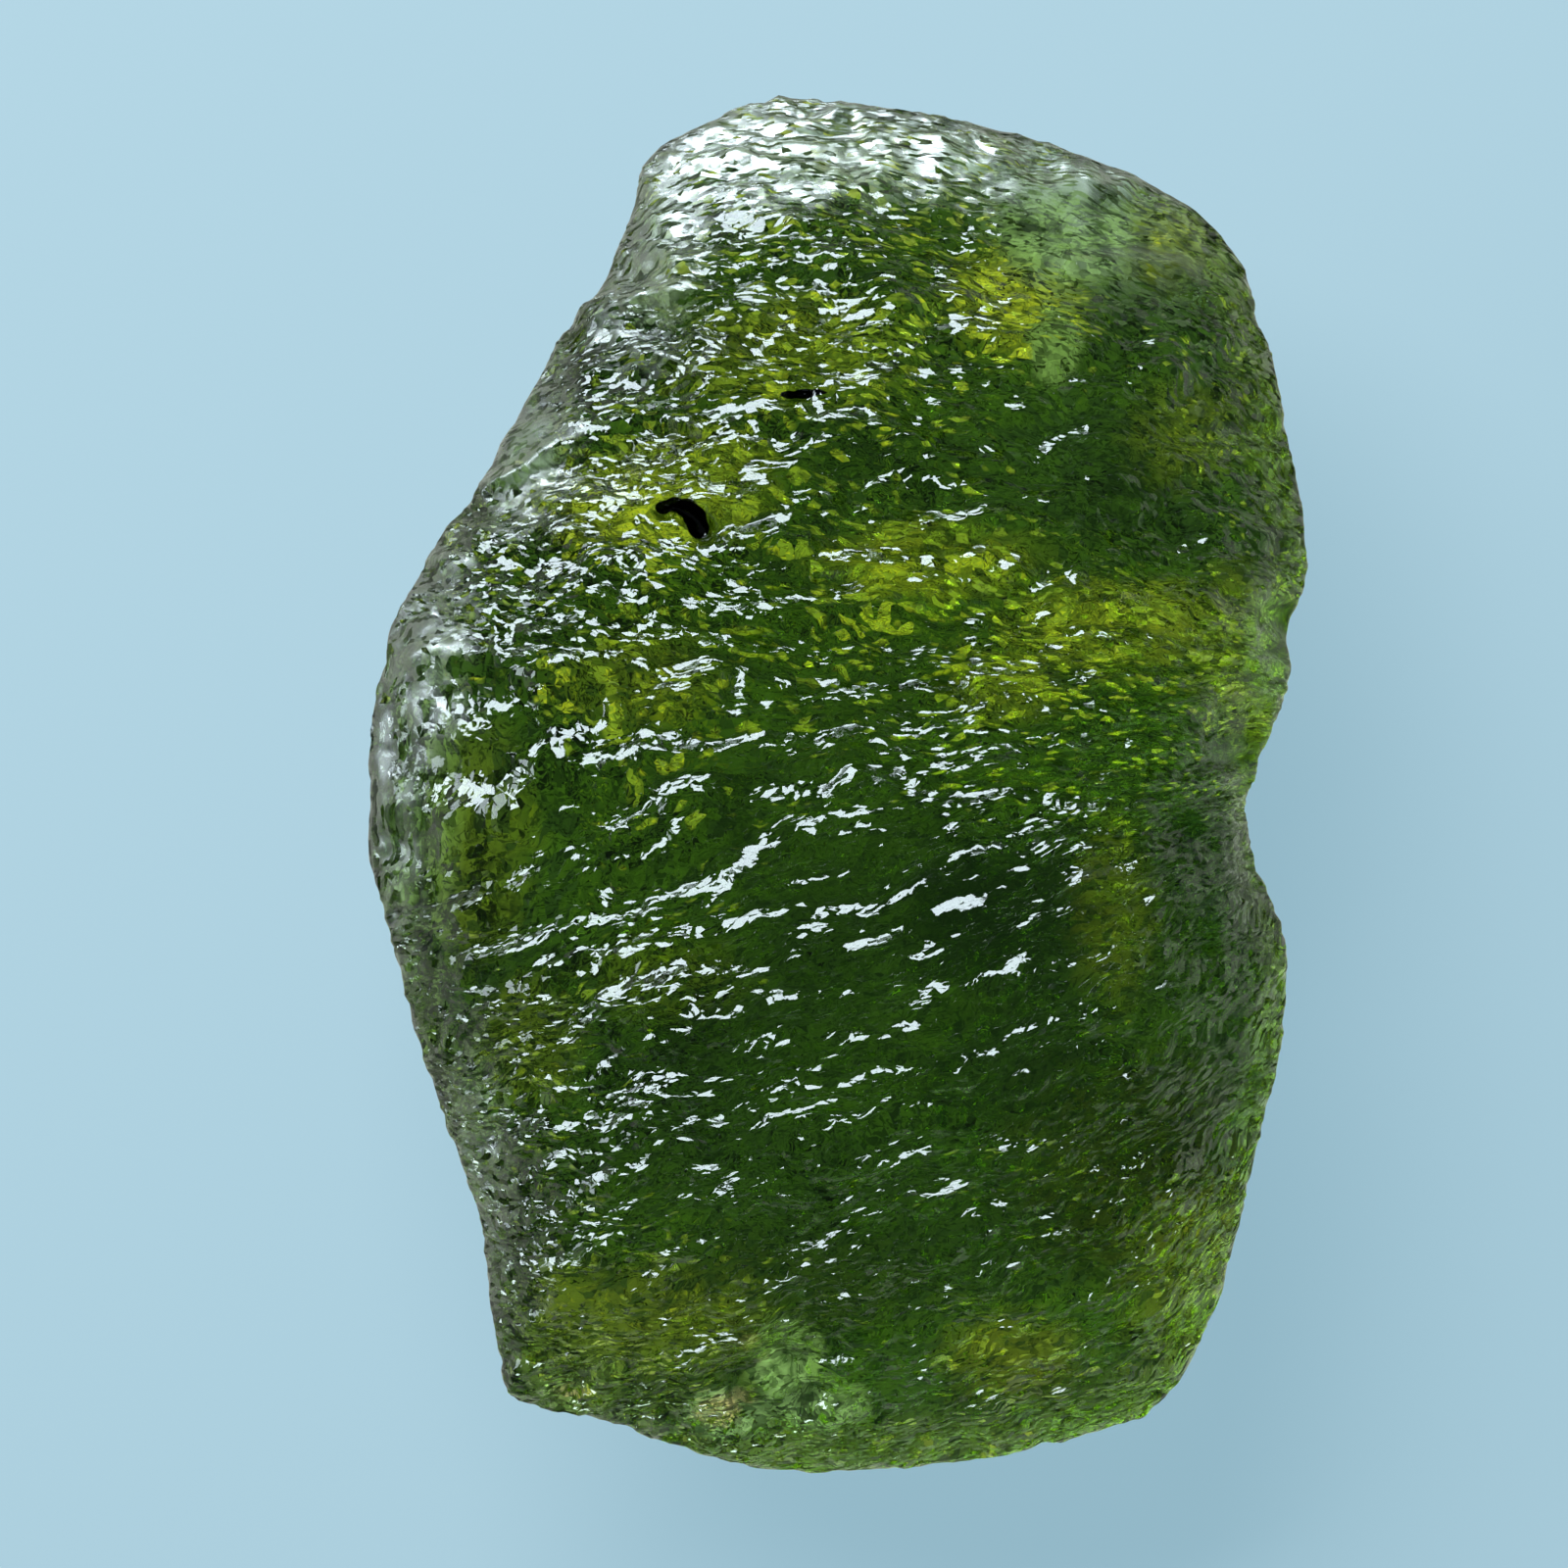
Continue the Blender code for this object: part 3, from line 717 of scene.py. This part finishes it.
def tint_and_painted_light_tree():
    """Return the Geometry Nodes tree that stores the skin's colours and patterns on the mesh, among them its
    painted glow, painted shade and painted sheen.
    """
    inputs = {name: "Color" for name in TINTS}
    inputs["Glass"] = "Material"
    group = new_geometry_tree("tinted_skin_and_painted_light", inputs)
    tree = Tree(group)
    value = tree.inputs()
    place = tree.node("GeometryNodeInputPosition") * (1.0 / MM)
    z = tree.axes(place)[2]
    rows = flow(tree, place)
    bent = rows + tree.wobble(place, FACET_WOBBLE)
    ragged = edge_noise(tree, rows)
    low = z.fade(*LOW_RANGE)
    shade = zone(tree, place, DARK_ZONES, ragged)
    quiet = zone(tree, place, QUIET_ZONES, ragged, edge=1.2)
    milk = zone(tree, place, MILKY_ZONES, ragged * 0.5, edge=0.45)
    veil = zone(tree, place, FROSTED_AND_SHEEN_ZONES, ragged, edge=1.2)
    lively = zone(tree, place, LIVELY_ZONES, ragged)
    pit = deep_pits(tree, place)

    # How far the facets tilt: in patches, more where the etching bites, and not in the pits
    patches = tree.patches(rows, FACET_PATCHES) * 0.7 + 0.3
    bite = (patches * liveliness(tree, place, ragged, quiet)).most(lively) * pit.fade(0.8, 1.2)

    # Painted glow: where bright facets gather, as if lit by light coming through the glass: in yellow zones
    # and clusters, and on slopes that lean to the foot
    lean = above_average(tree, tree.axes(tree.node("GeometryNodeInputNormal"))[1] * -1.0, LEAN_STEPS)
    yellow = zone(tree, place, YELLOW_ZONES, ragged, edge=1.6)
    glow = yellow - shade * 0.9 - quiet - milk + lean * 1.2 + tree.cloud(bent, CLUSTERS)

    # Dark places: painted shade in what lies lower than the skin round it, and thin upright streaks in the
    # glass
    painted_hollow_shade = above_average(tree, z * -1.0, HEIGHT_STEPS).fade(0.02, 0.13) * 0.9
    striae = tree.patches(place, STRIAE) * 0.5

    geometry = value["Geometry"]
    stores = (
        ("tint", "FLOAT_COLOR", stain(tree, place, ragged, low, shade, milk, value)),
        ("unrolled", "FLOAT_VECTOR", unrolled(tree, bent)),
        ("bite", "FLOAT", bite),
        ("glow", "FLOAT", glow),
        ("frost", "FLOAT", low.most(veil) * 0.5),
        ("crust_and_painted_sheen", "FLOAT", (veil * 1.3).least(1.0)),
        ("painted_shade_and_striae", "FLOAT", painted_hollow_shade.most(striae)),
        ("pit", "FLOAT", pit),
    )
    for name, kind, stored in stores:
        geometry = tree.node(
            "GeometryNodeStoreNamedAttribute", {"data_type": kind, "domain": "POINT"},
            {"Geometry": geometry, "Name": name, "Value": stored},
        )
    shaded = tree.node("GeometryNodeSetShadeSmooth", None, {"Geometry": geometry, "Shade Smooth": True})
    end_tree(tree, shaded, value["Glass"])
    return group


def stain(tree, place, ragged, low, shade, milk, value):
    """Return the broad colour of the glass over its surface."""
    upward = tree.axes(tree.node("GeometryNodeInputNormal"))[2].fade(-0.2, 0.1)
    colour = tree.tint(value["green"], value["pale"], low)
    colour = tree.tint(colour, value["rim"], upward * tree.axes(place)[2].fade(*RIM_RANGE))
    colour = tree.tint(colour, value["dark"], tree.patches(place, DARK_CLOUDS) * 0.45)
    colour = tree.tint(colour, value["dark"], shade * 0.9)
    colour = tree.tint(colour, value["brown"], zone(tree, place, BROWN_ZONES, ragged))
    # Yellower glass in the yellow zones, with a painted glow as of light shining through
    colour = tree.tint(colour, value["yellow"], zone(tree, place, YELLOW_ZONES, ragged) * 0.24)
    colour = tree.tint(colour, value["milky"], milk)
    return tree.tint(colour, value["soil"], zone(tree, place, SOIL_SPOTS, ragged, edge=0.4))


def keep_result(stone):
    """Turn what the stone's modifiers make of it into its own mesh."""
    evaluated = stone.evaluated_get(bpy.context.evaluated_depsgraph_get())
    old = stone.data
    stone.data = bpy.data.meshes.new_from_object(evaluated)
    stone.data.name = stone.name
    stone.modifiers.clear()
    bpy.data.meshes.remove(old)


def thin(stone, triangles):
    """Thin the stone's mesh to the wanted number of triangles."""
    stone.data.calc_loop_triangles()
    count = len(stone.data.loop_triangles)
    if count > triangles:
        decimate = stone.modifiers.new("thin", "DECIMATE")
        decimate.ratio = triangles / count
        keep_result(stone)


# The glass

BLACK = (0.0, 0.0, 0.0, 1.0)

# The height of a facet's tilt in millimetres, and the roughness that full frost adds
FACET_HEIGHT = 0.34
FROST_ROUGHNESS = 0.45

# Each facet has random numbers, which fall off from its middle, so that its edge is darker. A facet has a
# painted glow, or the crust's painted sheen, where they are high and painted shade where they are low: each
# time the number where that starts and the one where it is full.
EDGE_LOSS = 0.18
BRIGHT_CHANCES = (0.74, 0.92)
CRUST_CHANCES = (0.12, 0.45)
DARK_CHANCES = (0.22, 0.05)

# How far the stored painted glow raises the numbers for bright and for dark
BRIGHT_GLOW = 0.36
DARK_GLOW = 0.10

# The edge of the deep pits' painted shade, as a distance in their own size
PIT_EDGE = (1.08, 0.95)


def facets(tree, skin):
    """Return small flat facets: their height on a random tilt, three random numbers for each facet, and
    the distance from its middle."""
    place, dimensions = tree.stretched(skin, FACETS)
    settings = {"voronoi_dimensions": dimensions}
    middle = tree.node("ShaderNodeTexVoronoi", settings, {"Vector": place, "Scale": 1.0}, "Position")
    outputs = middle.socket.node.outputs
    chance = Wire(tree, outputs["Color"])
    tilt = tree.node("ShaderNodeVectorMath", {"operation": "SUBTRACT"}, {0: chance, 1: (0.5, 0.5, 0.5)})
    pair = {0: place - middle, 1: tilt}
    height = tree.node("ShaderNodeVectorMath", {"operation": "DOT_PRODUCT"}, pair, "Value")
    return height, tree.axes(chance), Wire(tree, outputs["Distance"])


def fine_tint(tree, chances, lift, crust_and_painted_sheen, settings):
    """Return the stored colour with facets of painted shade and painted glow, the crust's painted sheen, and
    painted shade where the skin lies low, with the glass's dark streaks.
    """
    yellow = (*settings.yellow, 1.0)
    dark = (*settings.dark, 1.0)
    glow = tree.attribute("glow")
    # Painted shade: dark facets, darker towards their edges
    shadow = (chances[2] + lift * 0.5 + glow * DARK_GLOW).fade(*DARK_CHANCES) * 0.9
    colour = tree.tint(tree.attribute("tint", "Color"), dark, shadow)
    # Painted glow: bright yellow facets that stand in for light refracted through the glass
    bright = (chances[1] + lift + glow * BRIGHT_GLOW).fade(*BRIGHT_CHANCES)
    colour = tree.tint(colour, yellow, bright)
    # The crust's painted sheen
    colour = tree.tint(colour, (*settings.crust_and_painted_sheen, 1.0), crust_and_painted_sheen)
    # Painted shade darkens what lies lower than the skin round it, and the glass's own streaks are dark too
    return tree.tint(colour, dark, tree.attribute("painted_shade_and_striae"))


def glass_material(settings):
    """Return the green glass, tinted over its surface and absorbing with depth."""
    material = bpy.data.materials.new("etched_glass")
    material.use_nodes = True
    nodes = material.node_tree.nodes
    links = material.node_tree.links
    tree = Tree(material.node_tree)
    shader = nodes["Principled BSDF"]
    output = nodes["Material Output"]

    height, chances, distance = facets(tree, tree.attribute("unrolled", "Vector"))
    lift = distance * -EDGE_LOSS
    # The crust's pale colour is a painted sheen; it also gives a real coat of shine
    crust_and_painted_sheen = tree.attribute("crust_and_painted_sheen") * (chances[0] + lift).fade(*CRUST_CHANCES)
    # The deep pits are painted black: painted shade for the dark deep inside them
    pit_shade = tree.attribute("pit").fade(*PIT_EDGE)
    colour = tree.tint(fine_tint(tree, chances, lift, crust_and_painted_sheen, settings), BLACK, pit_shade)
    relief = height * tree.attribute("bite") * FACET_HEIGHT
    bumps = tree.node("ShaderNodeBump", None, {"Strength": 1.0, "Distance": MM, "Height": relief})
    roughness = tree.attribute("frost") * FROST_ROUGHNESS + settings.polish
    links.new(colour.socket, shader.inputs["Base Color"])
    links.new(bumps.socket, shader.inputs["Normal"])
    links.new(roughness.socket, shader.inputs["Roughness"])
    links.new(crust_and_painted_sheen.socket, shader.inputs["Coat Weight"])
    shader.distribution = "GGX"
    shader.inputs["Coat Roughness"].default_value = settings.crust_roughness
    shader.inputs["Coat IOR"].default_value = settings.crust_ior
    shader.inputs["Transmission Weight"].default_value = 1.0
    shader.inputs["IOR"].default_value = settings.ior

    depth = nodes.new("ShaderNodeVolumeAbsorption")
    depth.inputs["Color"].default_value = (*settings.absorbed, 1.0)
    depth.inputs["Density"].default_value = settings.density
    links.new(depth.outputs["Volume"], output.inputs["Volume"])
    return material


class MOLDAVITE_OT_stone(bpy.types.Operator):
    """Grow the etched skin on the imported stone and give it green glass"""

    bl_idname = "moldavite.stone"
    bl_label = "Stone"

    def execute(self, context):
        scene = context.scene
        glass = glass_material(scene.moldavite_glass)
        stone = stone_copy(STONE)
        skin = scene.moldavite_skin
        run_tree(stone, skin_tree(), {
            "Ledge spacing": skin.ledge_spacing,
            "Ledge height": skin.ledge_height,
            "Cup depth": skin.cup_depth,
            "Furrow depth": skin.furrow_depth,
            "Fineness": skin.fineness,
            "Glass": glass,
        })
        thin(stone, skin.triangles)
        tints = {name: (*getattr(scene.moldavite_glass, name), 1.0) for name in TINTS}
        run_tree(stone, tint_and_painted_light_tree(), {**tints, "Glass": glass})

        # The floor's scattered light doesn't meet the stone, which would ring it with green
        stone.visible_diffuse = False
        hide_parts(NODE)
        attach(stone, "root")
        return {"FINISHED"}


# The studio

# The floor: how far it reaches, how far it lies below the stone, and how it shines and scatters
FLOOR_REACH = 3.0
FLOOR_DROP = 0.0001
FLOOR_SHINE = 0.78
FLOOR_SCATTER = (0.10, 0.10, 0.10, 1.0)

# The sky's colours, and the heights between which it goes from one to the other
OVERHEAD = (0.05, 0.06, 0.07, 1.0)
HORIZON = (0.30, 0.34, 0.37, 1.0)
HORIZON_RANGE = (0.02, 0.32)

# The lights: where they stand, how large they are, what they point at and their colour
KEY_PLACE = (-0.25, 0.43, 0.28)
KEY_SIZE = (0.66, 0.32)
SIDE_PLACE = (-0.52, 0.10, 0.13)
SIDE_SIZE = (0.20, 0.16)
LIT_PLACE = (0.0, 0.0, 0.01)
COOL = (0.79, 0.93, 1.0)

# The camera: its place across the stone, and its sensor and lens in millimetres
CAMERA_ACROSS = -0.0026
SENSOR = 36.0
LENS = 98.4
NEAREST_SEEN = 0.005


class StudioSettings(bpy.types.PropertyGroup):
    """Floor, lights and camera."""

    floor_colour: FloatVectorProperty(
        name="Floor colour", description="Colour of the pale floor",
        subtype="COLOR", size=3, default=(0.36, 0.60, 0.72),
    )
    glow_colour: FloatVectorProperty(
        name="Glow colour", description="Light that the floor shines into the stone from below",
        subtype="COLOR", size=3, default=(0.60, 0.66, 0.58),
    )
    key_power: FloatProperty(name="Key power", description="Power of the key light, in watts", default=14.0)
    side_power: FloatProperty(name="Side power", description="Power of the side light, in watts", default=0.8)
    camera_height: FloatProperty(
        name="Camera height", description="Height of the camera above the plane that the stone lies on",
        default=0.22, unit="LENGTH",
    )


def area_light(name, place, size, power):
    """Add a soft, cool, rectangular light that points at the stone and that the camera doesn't see."""
    data = bpy.data.lights.new(name, "AREA")
    data.shape = "RECTANGLE"
    data.size, data.size_y = size
    data.energy = power
    data.color = COOL
    light = bpy.data.objects.new(name, data)
    light.location = place
    light.rotation_euler = (Vector(LIT_PLACE) - Vector(place)).to_track_quat("-Z", "Y").to_euler()
    light.visible_camera = False
    bpy.context.scene.collection.objects.link(light)


def floor(settings):
    """Add the plain pale floor just under the stone."""
    mesh = bpy.data.meshes.new("floor")
    sides = ((-1, -1), (1, -1), (1, 1), (-1, 1))
    corners = [(x * FLOOR_REACH, y * FLOOR_REACH, -FLOOR_DROP) for x, y in sides]
    mesh.from_pydata(corners, [], [(0, 1, 2, 3)])
    plane = bpy.data.objects.new("floor", mesh)
    bpy.context.scene.collection.objects.link(plane)
    mesh.materials.append(floor_material(settings))


def floor_material(settings):
    """Return the pale floor, which the camera sees plain and which lights the stone as a light table does."""
    material = bpy.data.materials.new("pale_floor")
    material.use_nodes = True
    nodes = material.node_tree.nodes
    tree = Tree(material.node_tree)
    nodes.remove(nodes["Principled BSDF"])
    colour = (*settings.floor_colour, 1.0)
    glow = (*settings.glow_colour, 1.0)
    lit = tree.node("ShaderNodeBsdfDiffuse", None, {"Color": FLOOR_SCATTER})
    shine = tree.node("ShaderNodeEmission", None, {"Color": colour, "Strength": FLOOR_SHINE})
    seen = tree.node("ShaderNodeAddShader", None, {0: lit, 1: shine})
    below = tree.node("ShaderNodeEmission", None, {"Color": glow})

    # Rays meet so large a light without aiming at it, and aiming would only slow the render
    material.cycles.emission_sampling = "NONE"
    direct = tree.node("ShaderNodeLightPath", None, None, "Is Camera Ray")
    surface = tree.node("ShaderNodeMixShader", None, {0: direct, 1: below, 2: seen})
    material.node_tree.links.new(surface.socket, nodes["Material Output"].inputs["Surface"])
    return material


def sky():
    """Fill the studio with soft light that is dim overhead and pale round the horizon."""
    world = bpy.data.worlds.new("studio")
    world.use_nodes = True
    world.cycles.sampling_method = "NONE"
    tree = Tree(world.node_tree)
    height = tree.axes(tree.node("ShaderNodeTexCoord", None, None, "Generated"))[2]
    colour = tree.tint(HORIZON, OVERHEAD, height.fade(*HORIZON_RANGE))
    world.node_tree.links.new(colour.socket, world.node_tree.nodes["Background"].inputs["Color"])
    bpy.context.scene.world = world


def camera(settings):
    """Look straight down on the stone, with the crown at the top of the picture."""
    data = bpy.data.cameras.new("camera")
    data.sensor_width = SENSOR
    data.lens = LENS
    data.clip_start = NEAREST_SEEN
    view = bpy.data.objects.new("camera", data)
    view.location = (CAMERA_ACROSS, 0.0, settings.camera_height)
    bpy.context.scene.collection.objects.link(view)
    bpy.context.scene.camera = view


class MOLDAVITE_OT_studio(bpy.types.Operator):
    """Set up the pale floor, the soft lights and the camera"""

    bl_idname = "moldavite.studio"
    bl_label = "Studio"

    def execute(self, context):
        settings = context.scene.moldavite_studio
        floor(settings)
        sky()
        area_light("key", KEY_PLACE, KEY_SIZE, settings.key_power)
        area_light("side", SIDE_PLACE, SIDE_SIZE, settings.side_power)
        camera(settings)
        context.scene.view_settings.view_transform = "Standard"
        return {"FINISHED"}


class MOLDAVITE_PT_panel(bpy.types.Panel):
    """Settings and buttons of the stone and its studio"""

    bl_idname = "MOLDAVITE_PT_panel"
    bl_label = "Moldavite"
    bl_space_type = "VIEW_3D"
    bl_region_type = "UI"
    bl_category = "Moldavite"

    def draw(self, context):
        scene = context.scene
        for group in (scene.moldavite_skin, scene.moldavite_glass, scene.moldavite_studio):
            box = self.layout.box()
            for name in group.bl_rna.properties.keys():
                if name not in {"rna_type", "name"}:
                    box.prop(group, name)
        for operator in STEPS:
            self.layout.operator(operator.bl_idname)


STEPS = (MOLDAVITE_OT_stone, MOLDAVITE_OT_studio)
CLASSES = (SkinSettings, GlassSettings, StudioSettings, *STEPS, MOLDAVITE_PT_panel)


def register():
    for item in CLASSES:
        bpy.utils.register_class(item)
    bpy.types.Scene.moldavite_skin = PointerProperty(type=SkinSettings)
    bpy.types.Scene.moldavite_glass = PointerProperty(type=GlassSettings)
    bpy.types.Scene.moldavite_studio = PointerProperty(type=StudioSettings)


def unregister():
    del bpy.types.Scene.moldavite_studio
    del bpy.types.Scene.moldavite_glass
    del bpy.types.Scene.moldavite_skin
    for item in reversed(CLASSES):
        bpy.utils.unregister_class(item)


def main():
    register()
    bpy.ops.moldavite.stone()
    bpy.ops.moldavite.studio()


if __name__ == "__main__":
    main()
